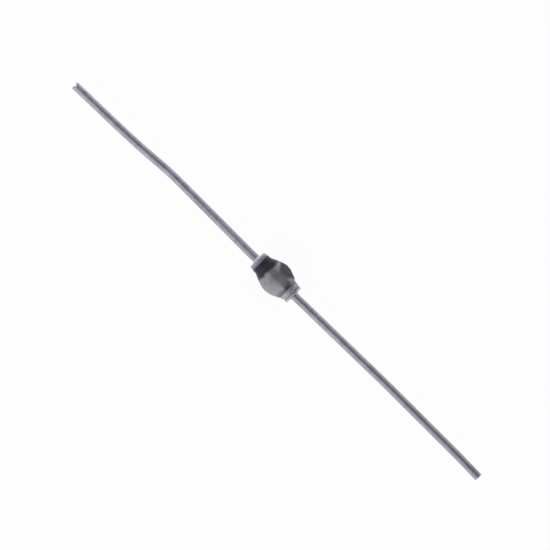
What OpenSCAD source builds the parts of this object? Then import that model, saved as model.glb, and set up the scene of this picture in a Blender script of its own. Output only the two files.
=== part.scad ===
// Axial rectifier diode with a fused glass body.
//
// The body axis is X, with the anode at -X and the cathode at +X, and the
// origin is halfway between the outer faces of the two lead heads. From the
// middle outwards each side holds half the silicon die, a thin die braze, a
// molybdenum stud, a stud braze and a nail-headed wire lead. The glass is
// melted round that stack, so its cavity is the stack itself.
// The leads keep the slight bends of a handled part, all in the XY plane.

/* [Wire leads] */
// Diameter of the tinned wire
wire_d = 0.85; // [0.7:0.05:1]
// Length of the anode lead along the wire, from the face of its head to its tip
anode_lead_l = 25.3; // [24:0.1:32]
// Length of the cathode lead along the wire, from the face of its head to its tip
cathode_lead_l = 25.9; // [24:0.1:32]
// Rounding of the cut edge at each tip
tip_edge_r = 0.06; // [0.02:0.01:0.1]
// Depth of the notch that the cutters left in the anode tip
notch_depth = 0.26; // [0.1:0.02:0.4]
// Width of that notch at the mouth
notch_w = 0.3; // [0.1:0.02:0.5]
// Sideways place of that notch across the wire
notch_y = 0.04; // [-0.1:0.01:0.1]

/* [Lead heads] */
// Diameter of the nail head that each lead ends in
head_d = 2.04; // [1.8:0.02:2.1]
// Thickness of the head
head_t = 0.4; // [0.38:0.02:0.6]
// Rounding of the head's rim, on the edge beside the stud
head_rim_r = 0.1; // [0.04:0.01:0.12]
// Rounding of the anode head's outer edge
anode_head_outer_r = 0.26; // [0.1:0.01:0.28]
// Rounding of the cathode head's outer edge
cathode_head_outer_r = 0.12; // [0.06:0.01:0.2]
// Fillet between the head and the wire
head_fillet_r = 0.2; // [0.1:0.02:0.3]

/* [Lead bends] */
// Straight wire between each head's fillet and its first bend
exit_l = 0.3; // [0.2:0.1:2]
// Angle of the anode lead's first bend, in degrees
anode_lean = 0.9; // [0.3:0.1:2]
// Straight wire between the anode lead's first and second bends
anode_run_1 = 10.3; // [6:0.1:11]
// Angle of the anode lead's second bend, in degrees, back across the axis
anode_kink = 4.5; // [0.5:0.1:6]
// Straight wire between the anode lead's second and third bends
anode_run_2 = 1.4; // [0.5:0.1:3]
// Angle of the anode lead's third bend, in degrees, towards the axis again
anode_return = 2.9; // [0.5:0.1:4]
// Angle of the cathode lead's first bend, in degrees
cathode_lean = 0.3; // [0.3:0.1:1]
// Straight wire between the cathode lead's first and second bends
cathode_run_1 = 11.3; // [8:0.1:12]
// Angle of the cathode lead's second bend, in degrees, back across the axis
cathode_kink = 1; // [0.5:0.1:2]
// Straight wire between the cathode lead's second and third bends
cathode_run_2 = 8.9; // [7:0.1:9.5]
// Angle of the cathode lead's third bend, in degrees, further the same way
cathode_droop = 1.4; // [0.5:0.1:3]
// Centreline radius of the slight bend beside each head
lean_r = 30; // [15:5:60]
// Centreline radius of the anode lead's second bend
anode_kink_r = 26; // [10:1:30]
// Centreline radius of the anode lead's third bend
anode_return_r = 84; // [20:2:90]
// Centreline radius of the cathode lead's second bend
cathode_kink_r = 90; // [20:2:100]
// Centreline radius of the cathode lead's third bend
cathode_droop_r = 33; // [10:1:40]

/* [Studs and brazes] */
// Diameter of the anode's molybdenum stud, which the glass covers
anode_stud_d = 2.04; // [2:0.02:2.1]
// Diameter of the cathode's molybdenum stud, which shows its rim
cathode_stud_d = 2.18; // [2.1:0.02:2.24]
// Length of each stud
stud_l = 1.97; // [1.6:0.01:2.4]
// Rounding of the stud's edge on the side of the lead head
stud_edge_r = 0.06; // [0.02:0.01:0.1]
// Diameter of the braze disc between a stud and its lead head
stud_braze_d = 1.96; // [1.7:0.02:2]
// Thickness of that braze disc
stud_braze_t = 0.08; // [0.03:0.01:0.12]

/* [Silicon die] */
// Diameter of the die on its cathode face
die_d = 1.6; // [1.2:0.05:1.8]
// Thickness of the die
die_t = 0.26; // [0.2:0.01:0.4]
// Angle of the die's bevelled edge, in degrees from the axis
die_bevel = 20; // [5:1:35]
// Thickness of the braze on each face of the die
die_braze_t = 0.02; // [0.01:0.005:0.05]

/* [Glass body] */
// Largest diameter of the glass, at its waist
glass_d = 3.4; // [3:0.05:3.8]
// Profile radius of the glass crown
crown_r = 2.45; // [2.2:0.05:3]
// Place of the waist along the axis, towards the cathode
waist_x = 0.05; // [-0.1:0.01:0.1]
// Thickness of the glass collar that covers the anode stud
anode_collar_t = 0.06; // [0.02:0.01:0.1]
// Rounding of that collar where it closes on the lead head
collar_round_r = 0.25; // [0.2:0.01:0.3]
// Meniscus radius between the crown and the anode collar
anode_meniscus_r = 0.8; // [0.4:0.05:1]
// Thickness of the glass edge on the cathode stud
cathode_edge_t = 0.03; // [0.02:0.01:0.1]
// Meniscus radius between the crown and the cathode edge
cathode_meniscus_r = 0.35; // [0.2:0.05:0.5]
// Length of cathode stud that the glass leaves bare
stud_bare_l = 0.4; // [0.2:0.05:0.6]

/* [Hidden] */

$fn = 96;
// Fragments in a full turn of the long, shallow wire bends
bend_fn = 720;
// Length by which a cutter runs past what it cuts
over = 1;
// Depth by which a blending arc or ball crosses the surface that it blends into
blend = 0.0025;

wire_r = wire_d / 2;
head_r = head_d / 2;
anode_stud_r = anode_stud_d / 2;
cathode_stud_r = cathode_stud_d / 2;
die_r = die_d / 2;
die_anode_r = die_r - die_t * tan(die_bevel);

// Places along the axis, from the middle of the die outwards
die_braze_x = die_t / 2;
stud_x = die_braze_x + die_braze_t;
stud_braze_x = stud_x + stud_l;
head_x = stud_braze_x + stud_braze_t;

crown_c = glass_d / 2 - crown_r;
crown_centre = [crown_c, waist_x];
anode_collar_r = anode_stud_r + anode_collar_t;
cathode_edge_r = cathode_stud_r + cathode_edge_t;
glass_end_x = stud_braze_x - stud_bare_l;

// A lead's course outwards from its head: [straight length, bend in degrees, bend radius]
anode_course = [
    [exit_l, -anode_lean, lean_r],
    [anode_run_1, anode_kink, anode_kink_r],
    [anode_run_2, -anode_return, anode_return_r],
];
cathode_course = [
    [exit_l, cathode_lean, lean_r],
    [cathode_run_1, -cathode_kink, cathode_kink_r],
    [cathode_run_2, -cathode_droop, cathode_droop_r],
];

// Length of wire used by the first n steps of a course
function course_l(course, n) =
    n == 0 ? 0 : course_l(course, n - 1) + course[n - 1][0] + arc_l(course[n - 1]);
function arc_l(step) = step[2] * abs(step[1]) * PI / 180;

// Turns a shape made along +Z so that it runs along +X
module along_x() rotate([0, 90, 0]) children();

// Turns a shape made along +X to the anode side
module to_anode() rotate([0, 0, 180]) children();

// Places its children where one straight length and bend of wire ends
module past_step(step) {
    turn = sign(step[1]);
    translate([step[0], turn * step[2], 0])
        rotate([0, 0, step[1]])
            translate([0, -turn * step[2], 0])
                children();
}

// Places its children at the end of a whole course
module past_course(course, i = 0) {
    if (i < len(course)) past_step(course[i]) past_course(course, i + 1) children();
    else children();
}

// A straight length of wire and the bend after it, with a ball that closes the joint
// between them and another that closes the far end
module wire_step(step) {
    turn = sign(step[1]);
    along_x() cylinder(r = wire_r, h = step[0]);
    translate([step[0], turn * step[2], 0])
        rotate([0, 0, -turn * 90])
            rotate_extrude(angle = abs(step[1]), start = min(step[1], 0), $fn = bend_fn)
                translate([step[2], 0])
                    circle(wire_r, $fn = 96);
    translate([step[0], 0, 0]) along_x() sphere(wire_r + blend);
    past_step(step) along_x() sphere(wire_r + blend);
}

// All the straight lengths and bends of a course
module wire_course(course, i = 0) {
    if (i < len(course)) {
        wire_step(course[i]);
        past_step(course[i]) wire_course(course, i + 1);
    }
}

// What a rounding of radius r takes off a corner at the origin, with the shape below it
module round_off(r) {
    difference() {
        translate([-r, -r]) square(r + over);
        translate([-r, -r]) circle(r);
    }
}

// The last straight length, with the rounded edge of a cut tip
module wire_tip(l) {
    along_x() rotate_extrude()
        difference() {
            square([wire_r, l]);
            translate([wire_r, l]) round_off(tip_edge_r);
        }
}

// The nail head on the end of the wire, with its outer edge rounded by outer_r, and the
// fillet between them
module lead_head(outer_r) {
    along_x() rotate_extrude() {
        difference() {
            square([head_r, head_t]);
            translate([head_r, head_t]) round_off(outer_r);
            translate([head_r, 0]) rotate(-90) round_off(head_rim_r);
        }
        difference() {
            square([wire_r + head_fillet_r, head_t + head_fillet_r]);
            translate([wire_r + head_fillet_r, head_t + head_fillet_r]) circle(head_fillet_r);
        }
    }
}

// A lead from the face of its head to its tip, outwards along +X
module lead(course, l, outer_r) {
    straight_x = head_t + head_fillet_r;
    lead_head(outer_r);
    translate([straight_x, 0, 0]) {
        wire_course(course);
        past_course(course)
            wire_tip(l - head_fillet_r - course_l(course, len(course)));
    }
}

// The notch in the anode tip, across the end of the wire
module tip_notch() {
    translate([0, notch_y, 0])
        linear_extrude(2 * wire_d, center = true)
            polygon([[-notch_depth, 0], [0, -notch_w / 2], [over, -notch_w / 2],
                     [over, notch_w / 2], [0, notch_w / 2]]);
}

// One stud of radius r, outwards along +X, with its outer edge rounded
module stud(r) {
    along_x() rotate_extrude()
        difference() {
            square([r, stud_l]);
            translate([r, stud_l]) round_off(stud_edge_r);
        }
}

// Centre of the meniscus arc of radius r that runs from the crown to a round wall of radius
// wall_r, to one side (+1 or -1) of the waist
function meniscus_c(wall_r, r, side) =
    [wall_r + r,
     waist_x + side * sqrt((crown_r + r - blend) ^ 2 - (wall_r + r - crown_c) ^ 2)];

// What lies outside the crown, between the directions of two points seen from its centre
module outside_crown(from, to) {
    difference() {
        polygon([crown_centre, from, to]);
        translate(crown_centre) circle(crown_r, $fn = 192);
    }
}

// What is rounded off the collar's end, where the glass closes on the lead head
module outside_collar() {
    drop = anode_collar_r - head_r;
    round_l = sqrt(collar_round_r ^ 2 - (collar_round_r - drop) ^ 2);
    difference() {
        translate([anode_collar_r - collar_round_r, -head_x - over])
            square([collar_round_r + over, round_l + over]);
        translate([anode_collar_r - collar_round_r, -head_x + round_l]) circle(collar_round_r);
    }
}

// Half section of the whole glass before the stack is taken out of it
module glass_section() {
    anode_c = meniscus_c(anode_collar_r, anode_meniscus_r, -1);
    cathode_c = meniscus_c(cathode_edge_r, cathode_meniscus_r, 1);
    anode_far = crown_centre + 2 * (anode_c - crown_centre);
    cathode_far = crown_centre + 2 * (cathode_c - crown_centre);
    intersection() {
        translate([0, -head_x]) square([glass_d, head_x + glass_end_x]);
        difference() {
            polygon([[0, -head_x - over], [anode_collar_r, -head_x - over],
                     [anode_collar_r, anode_c.y], anode_c, anode_far, cathode_far, cathode_c,
                     [cathode_edge_r, cathode_c.y], [cathode_edge_r, glass_end_x + over],
                     [0, glass_end_x + over]]);
            translate(anode_c) circle(anode_meniscus_r);
            translate(cathode_c) circle(cathode_meniscus_r);
            outside_crown(anode_far, cathode_far);
            outside_collar();
        }
    }
}

module silicon_die() {
    color("dimgray")
        translate([-die_t / 2, 0, 0])
            along_x() cylinder(r1 = die_anode_r, r2 = die_r, h = die_t);
}

module anode_die_braze() {
    color("silver")
        to_anode() translate([die_braze_x, 0, 0])
            along_x() cylinder(r = die_anode_r, h = die_braze_t);
}

module cathode_die_braze() {
    color("silver")
        translate([die_braze_x, 0, 0])
            along_x() cylinder(r = die_r, h = die_braze_t);
}

module anode_stud() {
    color("gray") to_anode() translate([stud_x, 0, 0]) stud(anode_stud_r);
}

module cathode_stud() {
    color("gray") translate([stud_x, 0, 0]) stud(cathode_stud_r);
}

module anode_stud_braze() {
    color("lightgray")
        to_anode() translate([stud_braze_x, 0, 0])
            along_x() cylinder(d = stud_braze_d, h = stud_braze_t);
}

module cathode_stud_braze() {
    color("lightgray")
        translate([stud_braze_x, 0, 0])
            along_x() cylinder(d = stud_braze_d, h = stud_braze_t);
}

module anode_lead() {
    tip_l = anode_lead_l - head_fillet_r - course_l(anode_course, len(anode_course));
    color("darkgray")
        to_anode() translate([head_x, 0, 0])
            difference() {
                lead(anode_course, anode_lead_l, anode_head_outer_r);
                translate([head_t + head_fillet_r, 0, 0])
                    past_course(anode_course)
                        translate([tip_l, 0, 0]) tip_notch();
            }
}

module cathode_lead() {
    color("darkgray")
        translate([head_x, 0, 0])
            lead(cathode_course, cathode_lead_l, cathode_head_outer_r);
}

module glass_body() {
    color([0.12, 0.12, 0.14])
        difference() {
            along_x() rotate_extrude() glass_section();
            silicon_die();
            anode_die_braze();
            cathode_die_braze();
            anode_stud();
            cathode_stud();
            anode_stud_braze();
        }
}

glass_body();
silicon_die();
anode_die_braze();
cathode_die_braze();
anode_stud();
cathode_stud();
anode_stud_braze();
cathode_stud_braze();
anode_lead();
cathode_lead();
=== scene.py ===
import math

import bmesh
import bpy
from bpy.props import FloatProperty, FloatVectorProperty, IntProperty, PointerProperty
from mathutils import Euler, Matrix, Vector


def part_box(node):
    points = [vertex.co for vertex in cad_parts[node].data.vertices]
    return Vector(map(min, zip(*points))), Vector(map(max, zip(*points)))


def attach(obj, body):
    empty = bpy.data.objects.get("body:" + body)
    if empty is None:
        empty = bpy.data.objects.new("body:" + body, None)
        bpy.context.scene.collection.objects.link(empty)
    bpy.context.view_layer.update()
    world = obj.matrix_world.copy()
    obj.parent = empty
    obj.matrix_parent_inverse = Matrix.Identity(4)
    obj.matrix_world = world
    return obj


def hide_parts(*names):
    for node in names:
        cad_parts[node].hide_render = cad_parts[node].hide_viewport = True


bl_info = {
    "name": "Axial rectifier diode",
    "version": (1, 0, 0),
    "blender": (4, 5, 0),
    "location": "3D View > Sidebar > Diode",
    "description": "Finishes an axial rectifier diode: fused glass bead, tinned nail-head leads and studs",
    "category": "Object",
}

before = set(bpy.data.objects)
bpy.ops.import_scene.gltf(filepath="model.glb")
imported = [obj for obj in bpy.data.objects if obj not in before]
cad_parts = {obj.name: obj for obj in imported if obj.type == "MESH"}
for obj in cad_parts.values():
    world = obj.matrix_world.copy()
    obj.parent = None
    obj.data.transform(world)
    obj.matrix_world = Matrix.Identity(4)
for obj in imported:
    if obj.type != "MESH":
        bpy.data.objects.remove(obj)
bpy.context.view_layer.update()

MM = 0.001
# Points closer than this are one point
MERGE = 1e-7
# A point this close to a place is at that place
NEAR = 1e-6
# Steps in each bend of a lead
BEND_STEPS = 16
# A move that fades out over the points nearby
SOFT_MOVE = {"use_proportional_edit": True, "proportional_edit_falloff": "SMOOTH"}
HEAD_FACE_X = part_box("cathode_lead")[0].x
STUD_LOW, STUD_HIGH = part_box("cathode_stud")
BRAZE_LOW, BRAZE_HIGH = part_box("cathode_stud_braze")
ANODE_STUD_LOW, ANODE_STUD_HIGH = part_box("anode_stud")
ANODE_DIE_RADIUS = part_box("anode_die_braze")[1].z
GLASS_LOW, GLASS_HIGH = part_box("glass_body")
DIE_LOW, DIE_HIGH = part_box("silicon_die")
FLOOR_Z = GLASS_LOW.z - 0.01 * MM


def length(name, description, default):
    """A size in metres, shown with its unit."""
    return FloatProperty(
        name=name, description=description, default=default, unit="LENGTH", precision=5, min=0.0
    )


def angle(name, description, degrees):
    """A turn, kept in radians and shown in degrees."""
    return FloatProperty(
        name=name, description=description, default=math.radians(degrees), subtype="ANGLE"
    )


def colour(name, description, default):
    """A colour as three shares from 0 to 1."""
    return FloatVectorProperty(
        name=name, description=description, default=default, subtype="COLOR", size=3, min=0.0, max=1.0
    )


def facets(name, default, least):
    """How many flat faces stand for a full turn."""
    return IntProperty(name=name, description=name, default=default, min=least)


# ---------------------------------------------------------------- sizes and finishes


class DIODE_PG_leads(bpy.types.PropertyGroup):
    wire: length("Wire diameter", "Diameter of the tinned wire", 0.85 * MM)
    anode_length: length("Anode lead length", "From the face of its head to its tip", 25.2 * MM)
    cathode_length: length("Cathode lead length", "From the face of its head to its tip", 25.9 * MM)
    head: length("Head diameter", "Diameter of the nail head", 2.04 * MM)
    head_thickness: length("Head thickness", "Thickness of the nail head", 0.4 * MM)
    anode_rim: length(
        "Anode rim rounding", "Rounding of the anode head's edge beside its stud", 0.04 * MM
    )
    cathode_rim: length(
        "Cathode rim rounding", "Rounding of the cathode head's edge beside its stud", 0.1 * MM
    )
    anode_round: length("Anode head rounding", "Rounding of the anode head's outer edge", 0.26 * MM)
    cathode_round: length("Cathode head rounding", "Rounding of the cathode head's outer edge", 0.08 * MM)
    fillet: length("Head fillet", "Fillet between the head and the wire", 0.2 * MM)
    tip_round: length("Tip rounding", "Rounding of the cut edge of the wire", 0.06 * MM)
    notch_depth: length("Notch depth", "Depth of the notch in the anode tip", 0.26 * MM)
    notch_width: length("Notch width", "Width of the notch in the anode tip", 0.3 * MM)
    notch_offset: length("Notch offset", "Sideways place of the notch", 0.04 * MM)
    exit: length("Exit", "Straight wire beside the head's fillet", 0.3 * MM)
    anode_lean: angle("Anode lean", "First bend of the anode lead", -0.9)
    anode_run_1: length("Anode first run", "Straight wire after the anode lean", 10.3 * MM)
    anode_kink: angle("Anode kink", "Second bend of the anode lead", 4.5)
    anode_run_2: length("Anode second run", "Straight wire after the anode kink", 1.4 * MM)
    anode_return: angle("Anode return", "Third bend of the anode lead", -2.9)
    cathode_lean: angle("Cathode lean", "First bend of the cathode lead", 0.3)
    cathode_run_1: length("Cathode first run", "Straight wire after the cathode lean", 11.3 * MM)
    cathode_kink: angle("Cathode kink", "Second bend of the cathode lead", -1.0)
    cathode_run_2: length("Cathode second run", "Straight wire after the cathode kink", 8.9 * MM)
    cathode_droop: angle("Cathode droop", "Third bend of the cathode lead", -1.4)
    lean_radius: length("Lean radius", "Radius of the bend beside each head", 30 * MM)
    anode_kink_radius: length("Anode kink radius", "Radius of the anode kink", 26 * MM)
    anode_return_radius: length("Anode return radius", "Radius of the anode return", 84 * MM)
    cathode_kink_radius: length("Cathode kink radius", "Radius of the cathode kink", 90 * MM)
    cathode_droop_radius: length("Cathode droop radius", "Radius of the cathode droop", 33 * MM)
    around: facets("Facets round the wire", 72, 24)
    tin: colour("Tin", "Colour of the tinned wire", (0.465, 0.46, 0.55))


class DIODE_PG_studs(bpy.types.PropertyGroup):
    anode: length("Anode stud diameter", "Diameter of the stud that the glass covers", 2.04 * MM)
    cathode: length("Cathode stud diameter", "Diameter of the stud whose rim is bare", 2.18 * MM)
    stud_round: length("Anode stud rounding", "Rounding of the anode stud's outer edge", 0.06 * MM)
    cathode_round: length("Cathode stud rounding", "Rounding of the cathode stud's outer edge", 0.1 * MM)
    disc: length("Braze diameter", "Diameter of the braze where it bulges from the groove", 2.08 * MM)
    metal: colour("Stud metal", "Colour of the stud", (0.46, 0.455, 0.52))
    braze: colour("Braze", "Colour of the stud braze", (0.95, 0.94, 0.98))
    die_braze: colour("Die braze", "Colour of the braze on the die", (0.8, 0.8, 0.82))
    silicon: colour("Silicon", "Colour of the die", (0.25, 0.25, 0.28))


class DIODE_PG_bead(bpy.types.PropertyGroup):
    top: length("Largest diameter", "Diameter of the glass at its waist", 3.37 * MM)
    peak_radius: length("Peak radius", "Profile radius of the crown beside its waist", 1.3 * MM)
    peak_slant: angle("Peak slant", "Slope at which the peak gives way to the anode flank", 14.5)
    anode_flank: length("Anode flank", "Profile radius of the crown towards the anode", 6.0 * MM)
    cathode_flank: length("Cathode flank", "Profile radius of the crown towards the cathode", 2.75 * MM)
    waist: length("Waist", "Place of the widest glass, towards the cathode", 0.05 * MM)
    collar: length("Collar", "Thickness of the glass over the anode stud", 0.06 * MM)
    slim_at: length("Slim place", "Where the cathode flank is slimmer on one side", 1.05 * MM)
    slim: length("Slimming", "How much slimmer the cathode flank is there", 0.05 * MM)
    collar_round: length("Collar rounding", "Rounding of the collar at the lead head", 0.25 * MM)
    collar_meniscus: length("Collar meniscus", "Meniscus radius at the anode collar", 0.8 * MM)
    edge: length("Edge", "Thickness of the glass edge on the cathode stud", 0.03 * MM)
    edge_tilt: angle("Edge tilt", "Slant of the glass edge across the cathode stud", 3.5)
    edge_meniscus: length("Edge meniscus", "Meniscus radius at the cathode edge", 0.35 * MM)
    around: facets("Facets round the bead", 128, 32)
    # The crown colour is a painted highlight and the end colour painted shade; crown start and crown end
    # set where they meet
    middle: colour("Crown colour", "Colour of the glass over its crown", (0.1, 0.099, 0.105))
    ends: colour("End colour", "Colour of the glass where it thins over the studs", (0.026, 0.024, 0.033))
    crown_start: FloatProperty(
        name="Crown start", description="Where the dark anode end gives way to the crown",
        default=-0.9 * MM, unit="LENGTH", precision=5,
    )
    crown_end: length("Crown end", "Where the crown gives way to the dark cathode end", 1.38 * MM)


class DIODE_PG_stage(bpy.types.PropertyGroup):
    floor: length("Floor size", "Side of the square floor", 1.6)
    floor_colour: colour("Floor colour", "Colour of the floor", (0.9, 0.9, 0.9))
    lift: FloatProperty(
        name="White share", description="Share of plain white in the floor as it is seen",
        default=0.96, min=0.0, max=1.0, subtype="FACTOR",
    )
    room_light: FloatProperty(
        name="Room light", description="Strength of the white room as a light", default=0.5, min=0.0
    )
    view_width: length("View width", "Width of what the camera takes in", 55 * MM)
    view_height: length("Camera height", "Height of the camera over the part", 0.6)
    roll: angle("Roll", "Turn of the body axis in the picture", 44.2)


# ---------------------------------------------------------------- shared steps


def clear_selection():
    """Leaves no object selected, so that an operator acts on the new piece alone."""
    if bpy.context.mode != "OBJECT":
        bpy.ops.object.mode_set(mode="OBJECT")
    bpy.ops.object.select_all(action="DESELECT")


def pick(piece):
    """Leaves one object selected and active."""
    clear_selection()
    piece.select_set(True)
    bpy.context.view_layer.objects.active = piece


def pen_down(name, x, radius):
    """Starts a half section with one point, at a place along the axis and a distance from it."""
    clear_selection()
    bpy.ops.mesh.primitive_plane_add(size=MM)
    piece = bpy.context.object
    piece.name = piece.data.name = name
    bpy.ops.object.mode_set(mode="EDIT")
    bpy.ops.mesh.select_mode(type="VERT")
    bpy.ops.mesh.merge(type="CENTER")
    bpy.ops.transform.translate(value=(x, 0.0, radius))
    return piece


def pen_point(piece):
    """Where the pen is: the one selected point."""
    mesh = bmesh.from_edit_mesh(piece.data)
    return next(v.co.copy() for v in mesh.verts if v.select)


def pen_line(piece, x, radius, cuts=1):
    """Draws a straight line, in equal parts, to a place on the half section."""
    step = (Vector((x, 0.0, radius)) - pen_point(piece)) / cuts
    for _ in range(cuts):
        bpy.ops.mesh.extrude_region_move(TRANSFORM_OT_translate={"value": step})


def pen_arc(piece, x, radius, to_x, to_radius, cuts):
    """Draws an arc round a centre, the short way, to the direction of another place."""
    centre = Vector((x, 0.0, radius))
    start = pen_point(piece) - centre
    end = Vector((to_x, 0.0, to_radius)) - centre
    turn = math.atan2(start.x * end.z - start.z * end.x, start.x * end.x + start.z * end.z)
    bpy.ops.mesh.spin(steps=cuts, angle=turn, center=centre, axis=(0, 1, 0))


def turn_round_axis(piece, around):
    """Spins the drawn half section once round the body axis."""
    bpy.ops.mesh.select_all(action="SELECT")
    bpy.ops.mesh.spin(steps=around, angle=math.tau, center=(0, 0, 0), axis=(1, 0, 0))
    bpy.ops.mesh.select_all(action="SELECT")
    bpy.ops.mesh.remove_doubles(threshold=MERGE)
    bpy.ops.mesh.select_all(action="SELECT")
    bpy.ops.mesh.normals_make_consistent(inside=False)


def select_where(piece, kind, test):
    """Selects the vertices, edges or faces that pass a test, and nothing else."""
    bpy.ops.mesh.select_all(action="DESELECT")
    bpy.ops.mesh.select_mode(type=kind)
    mesh = bmesh.from_edit_mesh(piece.data)
    for part in {"VERT": mesh.verts, "EDGE": mesh.edges, "FACE": mesh.faces}[kind]:
        part.select = test(part)
    mesh.select_flush_mode()
    bmesh.update_edit_mesh(piece.data)


def finish_piece(piece, material):
    """Shades a closed piece, gives it its finish and hangs it on the part."""
    pick(piece)
    bpy.ops.object.shade_smooth_by_angle(angle=math.radians(40))
    piece.data.materials.clear()
    piece.data.materials.append(material)
    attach(piece, "root")
    mesh = bmesh.new()
    mesh.from_mesh(piece.data)
    is_open = any(len(e.link_faces) != 2 for e in mesh.edges)
    inside_out = mesh.calc_volume(signed=True) <= 0
    mesh.free()
    if is_open or inside_out:
        raise RuntimeError(f"{piece.name} is {'open' if is_open else 'inside out'}")


# ---------------------------------------------------------------- materials


def new_material(name):
    """A new material, with its node tree and its shader."""
    material = bpy.data.materials.new(name)
    material.use_nodes = True
    tree = material.node_tree
    return material, tree, tree.nodes["Principled BSDF"]


def node(tree, kind, inputs=None, **settings):
    """Adds a node, with its settings and the values of its sockets."""
    made = tree.nodes.new(kind)
    for key, value in settings.items():
        setattr(made, key, value)
    for key, value in (inputs or {}).items():
        if isinstance(value, bpy.types.NodeSocket):
            tree.links.new(value, made.inputs[key])
        else:
            made.inputs[key].default_value = value
    return made


def ramp(tree, factor, stops):
    """A colour ramp through stops: [(place, grey or colour), ...]."""
    made = node(tree, "ShaderNodeValToRGB", {"Fac": factor})
    elements = made.color_ramp.elements
    while len(elements) < len(stops):
        elements.new(0.5)
    for element, (place, value) in zip(elements, stops):
        element.position = place
        shade = value if isinstance(value, (tuple, list)) else (value, value, value)
        element.color = (*shade, 1.0)
    return made.outputs["Color"]


def scaled(value, factor):
    """A colour made darker or lighter, and never lighter than white."""
    return tuple(min(1.0, c * factor) for c in value)


def noise(tree, place, scale, detail, roughness=0.5):
    """Cloudy grain from 0 to 1, which is finer as its scale is higher."""
    inputs = {"Vector": place, "Scale": scale, "Detail": detail, "Roughness": roughness}
    return node(tree, "ShaderNodeTexNoise", inputs).outputs["Fac"]


def maths(tree, operation, *values):
    """One step of arithmetic on numbers and sockets."""
    return node(tree, "ShaderNodeMath", dict(enumerate(values)), operation=operation).outputs[0]


def spread(tree, value, start, end, low=0.0, high=1.0, **settings):
    """Carries a value from one span over to another, and holds it at the ends."""
    inputs = {"Value": value, "From Min": start, "From Max": end, "To Min": low, "To Max": high}
    return node(tree, "ShaderNodeMapRange", inputs, **settings).outputs[0]


def mixed(tree, share, first, second):
    """Blends two colours by a share from 0 to 1."""
    inputs = {"Factor": share, 6: first, 7: second}
    return node(tree, "ShaderNodeMix", inputs, data_type="RGBA").outputs[2]


def bump(tree, height, strength, distance, **under):
    """A slight relief, which may lie over another one."""
    inputs = {"Height": height, "Strength": strength, "Distance": distance, **under}
    return node(tree, "ShaderNodeBump", inputs).outputs[0]


def between(tree, value, low, high, soft):
    """1 between two places and 0 outside them, with soft ends."""
    sides = [
        spread(tree, value, start, end, interpolation_type="SMOOTHSTEP")
        for start, end in ((low - soft, low + soft), (high + soft, high - soft))
    ]
    return maths(tree, "MULTIPLY", *sides)


def tinned_wire(tin, head_reach):
    """Dipped tin over drawn copper: satin on the wire, and duller on both heads.

    Both heads lie within head_reach of the middle of the part.
    """
    fade_reach, fade_from, fade_to = 28.0 * MM, 0.95, 0.78
    rubbed_reach, rubbed_soft, rubbed_rough = 12.0 * MM, 3.0 * MM, 0.16
    head_soft, head_rough = 0.04 * MM, (0.5, 0.5, 0.5, 1.0)
    # Painted highlights on the outer rims of both heads, and painted shade on the inner rim of the cathode
    # head, in the groove beside its stud:
    # from, to, soft edge, and the share of light that each adds
    painted_rims = (
        (-head_reach - 0.1 * MM, -head_reach + 0.1 * MM, 0.05 * MM, 0.6),
        (head_reach - 0.16 * MM, head_reach + 0.04 * MM, 0.05 * MM, 0.35),
        (0.0, head_reach - 0.3 * MM, 0.04 * MM, -0.3),
    )
    material, tree, shader = new_material("tinned_wire")
    place = node(tree, "ShaderNodeTexCoord").outputs["Object"]
    stretched = node(tree, "ShaderNodeMapping", {"Vector": place, "Scale": (0.04, 1.0, 1.0)})
    across = node(tree, "ShaderNodeSeparateXYZ", {0: place}).outputs["X"]
    patches = noise(tree, place, 1500.0, 4.0, 0.6)
    grain = noise(tree, place, 6500.0, 3.0, 0.6)
    lines = noise(tree, stretched.outputs[0], 9000.0, 2.0)

    tone = ramp(tree, patches, [(0.3, scaled(tin, 0.8)), (0.5, tin), (0.7, scaled(tin, 1.15))])
    bright = spread(tree, across, 0.0, fade_reach, fade_from, fade_to)
    for start, end, soft, share in painted_rims:
        bright = maths(tree, "MULTIPLY_ADD", between(tree, across, start, end, soft), share, bright)
    # The tin's tone, carrying the painted highlights and painted shade of the head rims
    tone_with_painted_rims = node(tree, "ShaderNodeVectorMath", {0: tone, "Scale": bright}, operation="SCALE")
    tree.links.new(tone_with_painted_rims.outputs[0], shader.inputs["Base Color"])

    gloss = ramp(tree, grain, [(0.3, 0.27), (0.7, 0.42)])
    head = between(tree, across, -head_reach, head_reach, head_soft)
    rubbed = between(tree, across, -rubbed_reach, 0.0, rubbed_soft)
    rough = maths(tree, "MULTIPLY_ADD", rubbed, rubbed_rough, mixed(tree, head, gloss, head_rough))
    tree.links.new(rough, shader.inputs["Roughness"])
    shader.inputs["Metallic"].default_value = 1.0

    pits = bump(tree, grain, 0.35, 0.03 * MM)
    drawn = bump(tree, lines, 0.2, 0.02 * MM, Normal=pits)
    tree.links.new(drawn, shader.inputs["Normal"])
    return material


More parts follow.
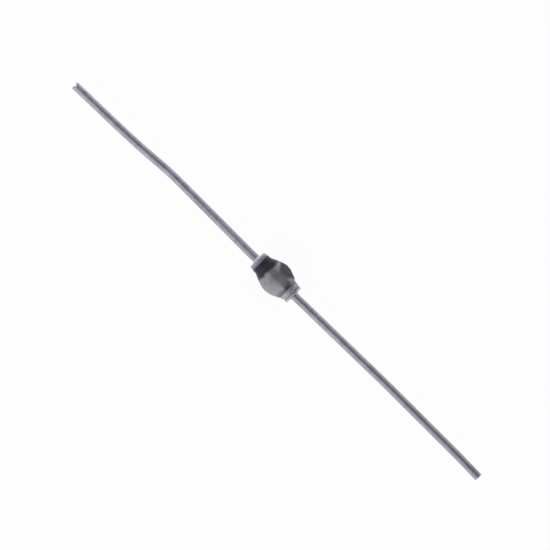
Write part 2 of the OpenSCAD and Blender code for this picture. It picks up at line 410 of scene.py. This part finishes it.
def dark_glass(middle, ends, crown_low, crown_high, lip_end):
    """Fused dark glass, nearly opaque: grey over its crown, which is a painted highlight, and almost black
    towards both studs, which is painted shade.
    """
    # The clouds move the borders of the crown to and fro within this span
    wander_reach = 0.4 * MM
    low, high, soft = crown_low + wander_reach / 2, crown_high + wander_reach / 2, 0.18 * MM
    # Far past the cathode end, so that the thick glass has no second border
    beyond = 1.0
    lip_start, lip_stop, lip_light = lip_end + 0.04 * MM, lip_end + 0.16 * MM, 2.6
    material, tree, shader = new_material("dark_bead_glass")
    place = node(tree, "ShaderNodeTexCoord").outputs["Object"]
    along = node(tree, "ShaderNodeSeparateXYZ", {0: place}).outputs["X"]
    cloud = noise(tree, place, 800.0, 3.0)
    speck = noise(tree, place, 4200.0, 4.0, 0.6)
    blend = node(tree, "ShaderNodeMix", {"Factor": 0.6, 2: speck, 3: cloud}, data_type="FLOAT")
    mottle = blend.outputs[0]
    wander = maths(tree, "MULTIPLY_ADD", cloud, wander_reach, along)
    crown = between(tree, wander, low, high, soft)
    thick = between(tree, wander, low, beyond, soft)

    grey = ramp(tree, mottle, [(0.36, scaled(middle, 0.7)), (0.5, middle), (0.64, scaled(middle, 1.5))])
    lip = spread(tree, along, lip_start, lip_stop)
    dark = mixed(tree, lip, (*scaled(middle, lip_light), 1.0), (*ends, 1.0))
    # The grey crown is a painted highlight and the near-black ends are painted shade, over the glass's own
    # mottle
    tree.links.new(mixed(tree, crown, dark, grey), shader.inputs["Base Color"])
    tree.links.new(ramp(tree, speck, [(0.35, 0.2), (0.7, 0.32)]), shader.inputs["Roughness"])

    level = 1.0
    for share, least, most in ((thick, 0.14, 1.0), (crown, 0.6, 1.0), (mottle, 0.25, 1.75)):
        level = maths(tree, "MULTIPLY", level, spread(tree, share, 0.0, 1.0, least, most))
    tree.links.new(level, shader.inputs["Specular IOR Level"])
    shader.inputs["IOR"].default_value = 2.2
    shader.inputs["Specular Tint"].default_value = (0.91, 0.895, 1.0, 1.0)
    tree.links.new(bump(tree, cloud, 0.25, 0.08 * MM), shader.inputs["Normal"])
    return material


def ground_metal(name, base, roughness, grain_scale):
    """A plain metal with fine grain, for the studs, the brazes and the die."""
    material, tree, shader = new_material(name)
    place = node(tree, "ShaderNodeTexCoord").outputs["Object"]
    grain = noise(tree, place, grain_scale, 4.0)
    tone = ramp(tree, grain, [(0.3, scaled(base, 0.8)), (0.7, scaled(base, 1.1))])
    gloss = ramp(tree, grain, [(0.3, roughness * 0.8), (0.7, roughness * 1.2)])
    tree.links.new(tone, shader.inputs["Base Color"])
    tree.links.new(gloss, shader.inputs["Roughness"])
    shader.inputs["Metallic"].default_value = 1.0
    tree.links.new(bump(tree, grain, 0.2, 0.02 * MM), shader.inputs["Normal"])
    return material


# ---------------------------------------------------------------- leads


def draw_head(name, sizes, rim, outer):
    """The nail head, its fillet and the first ring of wire, with the ring left selected."""
    wire, head = sizes.wire / 2, sizes.head / 2
    thick, fillet = sizes.head_thickness, sizes.fillet
    face = HEAD_FACE_X
    piece = pen_down(name, face, 0.0)
    pen_line(piece, face, head - rim, 3)
    pen_arc(piece, face + rim, head - rim, face + rim, head, 6)
    pen_line(piece, face + thick - outer, head)
    pen_arc(piece, face + thick - outer, head - outer, face + thick, head - outer, 10)
    pen_line(piece, face + thick, wire + fillet, 2)
    pen_arc(piece, face + thick + fillet, wire + fillet, face + thick + fillet, wire, 8)
    turn_round_axis(piece, sizes.around)
    end = face + thick + fillet
    select_where(piece, "VERT", lambda v: v.co.x > end - MERGE)
    return piece, Vector((end, 0.0, 0.0))


def run_wire(piece, place, course, tip):
    """Draws the selected ring of wire outwards through its straights and bends to the tip."""
    heading = 0.0
    for straight, turn, radius in course:
        step = Vector((math.cos(heading), math.sin(heading), 0.0)) * straight
        bpy.ops.mesh.extrude_region_move(TRANSFORM_OT_translate={"value": step})
        side = Vector((-math.sin(heading), math.cos(heading), 0.0)) * math.copysign(radius, turn)
        centre = place + step + side
        bpy.ops.mesh.spin(steps=BEND_STEPS, angle=-turn, center=centre, axis=(0, 0, 1))
        place = centre + Matrix.Rotation(turn, 3, "Z") @ -side
        heading += turn
    way = Vector((math.cos(heading), math.sin(heading), 0.0))
    bpy.ops.mesh.extrude_region_move(TRANSFORM_OT_translate={"value": way * tip})
    ring = [v.co for v in bmesh.from_edit_mesh(piece.data).verts if v.select]
    end = sum(ring, Vector()) / len(ring)
    if (end - place - way * tip).length > NEAR:
        raise RuntimeError(f"{piece.name} ends {end} away from its course")
    return end, way


def close_tip(piece, end, way, rounding):
    """Caps the last ring and rounds the cut edge."""
    bpy.ops.mesh.edge_face_add()
    select_where(piece, "EDGE", lambda e: all(abs((v.co - end).dot(way)) < NEAR for v in e.verts))
    bpy.ops.mesh.bevel(offset=rounding, segments=5, affect="EDGES")
    bpy.ops.mesh.select_all(action="SELECT")
    bpy.ops.mesh.remove_doubles(threshold=MERGE)
    bpy.ops.mesh.normals_make_consistent(inside=False)
    bpy.ops.object.mode_set(mode="OBJECT")


def course_length(course):
    """How much wire the straights and bends of a course take."""
    return sum(straight + abs(turn) * radius for straight, turn, radius in course)


def make_lead(name, sizes, course, whole, rim, outer):
    """A lead from its head to its tip, with where the tip is and which way it points."""
    piece, place = draw_head(name, sizes, rim, outer)
    tip = whole - sizes.fillet - course_length(course)
    end, way = run_wire(piece, place, course, tip)
    close_tip(piece, end, way, sizes.tip_round)
    return piece, end, way


def cut_notch(piece, end, way, sizes):
    """Cuts the notch that the wire cutters left across the tip."""
    clear_selection()
    depth, width = sizes.notch_depth, sizes.notch_width
    bpy.ops.mesh.primitive_cylinder_add(vertices=3, radius=1.0, depth=2 * sizes.wire)
    cutter = bpy.context.object
    corners = [(-depth, 0.0), (depth, -width), (depth, width)]
    for vert in cutter.data.vertices:
        vert.co.xy = corners[vert.index // 2]
    cutter.data.transform(
        Matrix.Translation(end)
        @ Matrix.Rotation(math.atan2(way.y, way.x), 4, "Z")
        @ Matrix.Translation((0.0, -sizes.notch_offset, 0.0))
    )
    pick(cutter)
    bpy.ops.object.mode_set(mode="EDIT")
    bpy.ops.mesh.select_all(action="SELECT")
    bpy.ops.mesh.normals_make_consistent(inside=False)
    pick(piece)
    notch = piece.modifiers.new("notch", "BOOLEAN")
    notch.operation = "DIFFERENCE"
    notch.solver = "EXACT"
    notch.object = cutter
    bpy.ops.object.modifier_apply(modifier=notch.name)
    bpy.data.objects.remove(cutter)


class DIODE_OT_leads(bpy.types.Operator):
    """Makes both nail-headed tinned leads, with their bends and cut tips"""

    bl_idname = "diode.leads"
    bl_label = "Leads"

    def execute(self, context):
        sizes = context.scene.diode_leads
        tin = tinned_wire(tuple(sizes.tin), HEAD_FACE_X + sizes.head_thickness)
        anode_course = [
            (sizes.exit, sizes.anode_lean, sizes.lean_radius),
            (sizes.anode_run_1, sizes.anode_kink, sizes.anode_kink_radius),
            (sizes.anode_run_2, sizes.anode_return, sizes.anode_return_radius),
        ]
        cathode_course = [
            (sizes.exit, sizes.cathode_lean, sizes.lean_radius),
            (sizes.cathode_run_1, sizes.cathode_kink, sizes.cathode_kink_radius),
            (sizes.cathode_run_2, sizes.cathode_droop, sizes.cathode_droop_radius),
        ]
        anode, end, way = make_lead(
            "anode_wire", sizes, anode_course, sizes.anode_length, sizes.anode_rim, sizes.anode_round
        )
        cut_notch(anode, end, way, sizes)
        anode.data.transform(Matrix.Rotation(math.pi, 4, "Z"))
        cathode, _, _ = make_lead(
            "cathode_wire",
            sizes,
            cathode_course,
            sizes.cathode_length,
            sizes.cathode_rim,
            sizes.cathode_round,
        )
        for piece, stood_for in ((anode, "anode_lead"), (cathode, "cathode_lead")):
            finish_piece(piece, tin)
            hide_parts(stood_for)
        return {"FINISHED"}


# ---------------------------------------------------------------- studs, brazes and die


class DIODE_OT_studs(bpy.types.Operator):
    """Makes the bare cathode stud and its braze, and finishes the pieces inside the glass"""

    bl_idname = "diode.studs"
    bl_label = "Studs and brazes"

    def execute(self, context):
        looks = context.scene.diode_studs
        around = context.scene.diode_bead.around
        metal = ground_metal("stud_metal", looks.metal, roughness=0.42, grain_scale=5000.0)
        braze = ground_metal("stud_braze_metal", looks.braze, roughness=0.75, grain_scale=7000.0)
        die_braze = ground_metal("die_braze_metal", looks.die_braze, roughness=0.35, grain_scale=9000.0)
        silicon = ground_metal("silicon", looks.silicon, roughness=0.15, grain_scale=12000.0)
        radius, rounding = looks.cathode / 2, looks.cathode_round

        stud = pen_down("cathode_stud_rim", STUD_LOW.x, 0.0)
        pen_line(stud, STUD_LOW.x, radius, 3)
        pen_line(stud, STUD_HIGH.x - rounding, radius, 4)
        pen_arc(stud, STUD_HIGH.x - rounding, radius - rounding, STUD_HIGH.x, radius - rounding, 6)
        pen_line(stud, STUD_HIGH.x, 0.0, 3)
        turn_round_axis(stud, around)
        finish_piece(stud, metal)
        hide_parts("cathode_stud")

        disc = pen_down("cathode_braze_disc", BRAZE_LOW.x, 0.0)
        bulge = (BRAZE_HIGH.x - BRAZE_LOW.x) / 2
        shoulder = looks.disc / 2 - bulge
        pen_line(disc, BRAZE_LOW.x, shoulder, 3)
        pen_arc(disc, BRAZE_LOW.x + bulge, shoulder, BRAZE_LOW.x + bulge, looks.disc / 2, 4)
        pen_arc(disc, BRAZE_LOW.x + bulge, shoulder, BRAZE_HIGH.x, shoulder, 4)
        pen_line(disc, BRAZE_HIGH.x, 0.0, 3)
        turn_round_axis(disc, around)
        finish_piece(disc, braze)
        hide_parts("cathode_stud_braze")

        finishes = {
            "anode_stud": metal,
            "anode_stud_braze": braze,
            "anode_die_braze": die_braze,
            "cathode_die_braze": die_braze,
            "silicon_die": silicon,
        }
        for name, material in finishes.items():
            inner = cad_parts[name]
            inner.data.materials.clear()
            inner.data.materials.append(material)
        return {"FINISHED"}


# ---------------------------------------------------------------- glass bead


def slim_side(bead, wall, low, high, slimming):
    """Presses in the +Y side of the glass between two places, and leaves its inside as it is."""
    clear_of_wall = wall + 0.01 * MM
    select_where(bead, "VERT", lambda v: math.hypot(v.co.y, v.co.z) < clear_of_wall)
    bpy.ops.mesh.hide(unselected=False)
    select_where(
        bead, "VERT", lambda v: not v.hide and low < v.co.x < high and v.co.y > abs(v.co.z)
    )
    bpy.ops.transform.translate(
        value=(0.0, -slimming, 0.0), proportional_size=0.45 * MM, **SOFT_MOVE
    )
    bpy.ops.mesh.reveal(select=False)


def meniscus(flank, flank_radius, wall, radius, side):
    """Centre and start of the arc that leaves a flank of the crown and runs out along a wall."""
    across = wall + radius - flank.y
    reach = math.sqrt((flank_radius + radius) ** 2 - across**2)
    centre = Vector((flank.x + side * reach, wall + radius))
    return centre, centre + (flank - centre).normalized() * radius


class DIODE_OT_bead(bpy.types.Operator):
    """Makes the fused glass bead round the stack of studs and die"""

    bl_idname = "diode.bead"
    bl_label = "Glass bead"

    def execute(self, context):
        sizes = context.scene.diode_bead
        studs = context.scene.diode_studs
        head = context.scene.diode_leads.head / 2
        anode_stud, cathode_stud = studs.anode / 2, studs.cathode / 2
        top = sizes.top / 2
        peak = Vector((sizes.waist, top - sizes.peak_radius))
        slant = Vector((-math.sin(sizes.peak_slant), math.cos(sizes.peak_slant)))
        flank_start = peak + slant * sizes.peak_radius
        anode_flank = flank_start - slant * sizes.anode_flank
        cathode_flank = Vector((sizes.waist, top - sizes.cathode_flank))

        low, high = -HEAD_FACE_X, GLASS_HIGH.x
        collar = anode_stud + sizes.collar
        edge = cathode_stud + sizes.edge
        drop = collar - head
        round_length = math.sqrt(sizes.collar_round**2 - (sizes.collar_round - drop) ** 2)
        collar_c, collar_touch = meniscus(
            anode_flank, sizes.anode_flank, collar, sizes.collar_meniscus, -1
        )
        edge_c, edge_touch = meniscus(cathode_flank, sizes.cathode_flank, edge, sizes.edge_meniscus, 1)
        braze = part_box("anode_stud_braze")[1].z

        bead = pen_down("glass_bead", low, head)
        pen_arc(bead, low + round_length, collar - sizes.collar_round, low + round_length, collar, 8)
        pen_line(bead, collar_c.x, collar)
        pen_arc(bead, collar_c.x, collar_c.y, collar_touch.x, collar_touch.y, 16)
        pen_arc(bead, anode_flank.x, anode_flank.y, flank_start.x, flank_start.y, 20)
        pen_arc(bead, peak.x, peak.y, peak.x, top, 8)
        pen_arc(bead, cathode_flank.x, cathode_flank.y, edge_touch.x, edge_touch.y, 24)
        pen_arc(bead, edge_c.x, edge_c.y, high, edge_c.y - sizes.edge_meniscus, 12)
        pen_line(bead, high, cathode_stud)
        pen_line(bead, STUD_LOW.x, cathode_stud)
        pen_line(bead, STUD_LOW.x, DIE_HIGH.z)
        pen_line(bead, DIE_HIGH.x, DIE_HIGH.z)
        pen_line(bead, DIE_LOW.x, ANODE_DIE_RADIUS)
        pen_line(bead, ANODE_STUD_HIGH.x, ANODE_DIE_RADIUS)
        pen_line(bead, ANODE_STUD_HIGH.x, anode_stud)
        pen_line(bead, ANODE_STUD_LOW.x + studs.stud_round, anode_stud)
        pen_line(bead, ANODE_STUD_LOW.x, anode_stud - studs.stud_round)
        pen_line(bead, ANODE_STUD_LOW.x, braze)
        pen_line(bead, low, braze)
        pen_line(bead, low, head)
        turn_round_axis(bead, sizes.around)
        slim_low, slim_high = sizes.slim_at - 0.15 * MM, sizes.slim_at + 0.15 * MM
        slim_side(bead, cathode_stud, slim_low, slim_high, sizes.slim)
        select_where(bead, "VERT", lambda v: v.co.x > high - MERGE)
        bpy.ops.transform.rotate(
            value=-sizes.edge_tilt,
            orient_axis="Z",
            center_override=(high, 0.0, 0.0),
            proportional_size=0.4 * MM,
            **SOFT_MOVE,
        )
        bpy.ops.object.mode_set(mode="OBJECT")
        glass = dark_glass(
            tuple(sizes.middle), tuple(sizes.ends), sizes.crown_start, sizes.crown_end, low
        )
        finish_piece(bead, glass)
        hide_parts("glass_body")
        return {"FINISHED"}


# ---------------------------------------------------------------- stage


def seen_white(tree):
    """1 for camera, mirrored and passed-through rays, and 0 for those that only light things."""
    rays = node(tree, "ShaderNodeLightPath").outputs
    seen = rays["Is Camera Ray"]
    for kind in ("Is Glossy Ray", "Is Transmission Ray"):
        seen = maths(tree, "MAXIMUM", seen, rays[kind])
    return seen


def soft_lamp(name, place, size, power, tint):
    """A large soft lamp that faces the part, and isn't mirrored in it."""
    data = bpy.data.lights.new(name, "AREA")
    data.shape = "RECTANGLE"
    data.size, data.size_y = size
    data.energy = power
    data.color = tint
    lamp = bpy.data.objects.new(name, data)
    bpy.context.scene.collection.objects.link(lamp)
    lamp.location = place
    lamp.rotation_euler = (Vector((0.0, 0.0, 0.0)) - Vector(place)).to_track_quat("-Z", "Y").to_euler()
    lamp.visible_glossy = False


def dim_card(name, size, place, turn, grey):
    """A dark card that shows only in what the metal and glass mirror."""
    clear_selection()
    bpy.ops.mesh.primitive_plane_add(size=1.0)
    card = bpy.context.object
    card.name = name
    card.data.transform(
        Matrix.Translation(place) @ Euler(turn).to_matrix().to_4x4() @ Matrix.Diagonal((*size, 1.0, 1.0))
    )
    material, tree, shader = new_material(name)
    shader.inputs["Base Color"].default_value = (0.0, 0.0, 0.0, 1.0)
    shader.inputs["Specular IOR Level"].default_value = 0.0
    shader.inputs["Emission Color"].default_value = (1.0, 1.0, 1.0, 1.0)
    shader.inputs["Emission Strength"].default_value = grey
    card.data.materials.append(material)
    card.visible_camera = card.visible_diffuse = card.visible_shadow = card.visible_transmission = False


def pale_floor(stage):
    """A floor just under the glass, almost plain white where the camera sees it."""
    clear_selection()
    bpy.ops.mesh.primitive_plane_add(size=stage.floor, location=(0.0, 0.0, FLOOR_Z))
    floor = bpy.context.object
    floor.name = "floor"
    material, tree, shader = new_material("pale_floor")
    shader.inputs["Base Color"].default_value = (*stage.floor_colour, 1.0)
    shader.inputs["Roughness"].default_value = 0.9
    white = node(tree, "ShaderNodeEmission", {"Color": (1.0, 1.0, 1.0, 1.0), "Strength": 1.0})
    share = maths(tree, "MULTIPLY", seen_white(tree), stage.lift)
    blend = node(tree, "ShaderNodeMixShader", {0: share, 1: shader.outputs[0], 2: white.outputs[0]})
    tree.links.new(blend.outputs[0], tree.nodes["Material Output"].inputs["Surface"])
    floor.data.materials.append(material)


def soft_room(stage):
    """A white room, which is dimmer as a light than as it is seen."""
    world = bpy.data.worlds.new("soft_room")
    bpy.context.scene.world = world
    world.use_nodes = True
    room = world.node_tree
    back = room.nodes["Background"]
    back.inputs["Color"].default_value = (1.0, 1.0, 1.0, 1.0)
    level = spread(room, seen_white(room), 0.0, 1.0, stage.room_light, 1.0)
    room.links.new(level, back.inputs["Strength"])


def mirrored_cards():
    """The dark cards that give the wire, the studs and the bead their stripes."""
    flat, upright = (0.0, 0.0, 0.0), math.pi / 2
    dim_card("overhead_card", (0.6, 0.37), (0.0, 0.125, 0.25), flat, 0.28)
    dim_card("shoulder_card", (0.6, 0.1), (0.0, -0.11, 0.25), flat, 0.66)
    dim_card("flank_card", (0.6, 0.16), (0.0, -0.24, 0.25), flat, 0.9)
    dim_card("back_card", (1.6, 0.55), (0.0, 0.6, 0.27), (upright, 0.0, 0.0), 0.72)
    dim_card("cathode_card", (0.5, 0.75), (0.5, 0.25, 0.2), (0.0, upright, 0.0), 0.18)
    # Two slanting cards stand close beside the bead, one above the other: painted shade for the bead's own
    # shadow on the floor on that side, which the bead's rim mirrors as a dark edge
    near = Vector((0.0, GLASS_HIGH.y + 0.35 * MM, FLOOR_Z + 0.05 * MM))
    middle = Vector((0.0, 2.5 * MM, 2.2 * MM))
    far = Vector((0.0, 5.0 * MM, 7.0 * MM))
    left = -0.95 * MM
    for name, start, end, right, grey in (
        ("low_mirrored_shade_card", near, middle, 1.85 * MM, 0.07),
        ("high_mirrored_shade_card", middle, far, 2.6 * MM, 0.2),
    ):
        way = end - start
        slope = math.atan2(way.z, way.y)
        place = (start + end) / 2 + Vector(((left + right) / 2, 0.0, 0.0))
        dim_card(name, (right - left, way.length), place, (slope, 0.0, 0.0), grey)


def overhead_camera(stage):
    """A camera straight above the part, turned so that the body axis slants in the picture."""
    film, aim_up, aim_left = 36.0, 0.25 * MM, 0.04 * MM
    roll = stage.roll
    right = Vector((math.cos(roll), math.sin(roll), 0.0))
    up = Vector((-math.sin(roll), math.cos(roll), 0.0))
    data = bpy.data.cameras.new("camera")
    camera = bpy.data.objects.new("camera", data)
    bpy.context.scene.collection.objects.link(camera)
    target = up * aim_up - right * aim_left
    camera.location = target + Vector((0.0, 0.0, stage.view_height))
    camera.rotation_euler = (0.0, 0.0, roll)
    data.sensor_width = film
    data.lens = film * stage.view_height / stage.view_width
    data.clip_start, data.clip_end = 0.01, 10.0
    bpy.context.scene.camera = camera
    bpy.context.scene.view_settings.view_transform = "Standard"


class DIODE_OT_stage(bpy.types.Operator):
    """Makes the pale floor, the soft light and the camera"""

    bl_idname = "diode.stage"
    bl_label = "Stage"

    def execute(self, context):
        stage = context.scene.diode_stage
        pale_floor(stage)
        soft_room(stage)
        soft_lamp("key", (0.0, -0.45, 0.28), (0.9, 0.45), power=1.1, tint=(0.93, 0.93, 1.0))
        soft_lamp("fill", (0.0, 0.45, 0.3), (0.9, 0.4), power=0.5, tint=(1.0, 1.0, 1.0))
        mirrored_cards()
        overhead_camera(stage)
        return {"FINISHED"}


# ---------------------------------------------------------------- panel and registration


class DIODE_PT_panel(bpy.types.Panel):
    """Lists the steps that make the diode"""

    bl_idname = "DIODE_PT_panel"
    bl_label = "Axial rectifier diode"
    bl_space_type = "VIEW_3D"
    bl_region_type = "UI"
    bl_category = "Diode"

    def draw(self, context):
        for step in STEPS:
            self.layout.operator(step.bl_idname)
        for name in GROUPS:
            box = self.layout.box()
            group = getattr(context.scene, name)
            for key in type(group).__annotations__:
                box.prop(group, key)


GROUPS = {
    "diode_leads": DIODE_PG_leads,
    "diode_studs": DIODE_PG_studs,
    "diode_bead": DIODE_PG_bead,
    "diode_stage": DIODE_PG_stage,
}
STEPS = (DIODE_OT_leads, DIODE_OT_studs, DIODE_OT_bead, DIODE_OT_stage)


def register():
    for kind in (*GROUPS.values(), *STEPS, DIODE_PT_panel):
        bpy.utils.register_class(kind)
    for name, group in GROUPS.items():
        setattr(bpy.types.Scene, name, PointerProperty(type=group))


def unregister():
    for name in GROUPS:
        delattr(bpy.types.Scene, name)
    for kind in (DIODE_PT_panel, *STEPS, *GROUPS.values()):
        bpy.utils.unregister_class(kind)


def main():
    register()
    bpy.ops.diode.leads()
    bpy.ops.diode.studs()
    bpy.ops.diode.bead()
    bpy.ops.diode.stage()


if __name__ == "__main__":
    main()
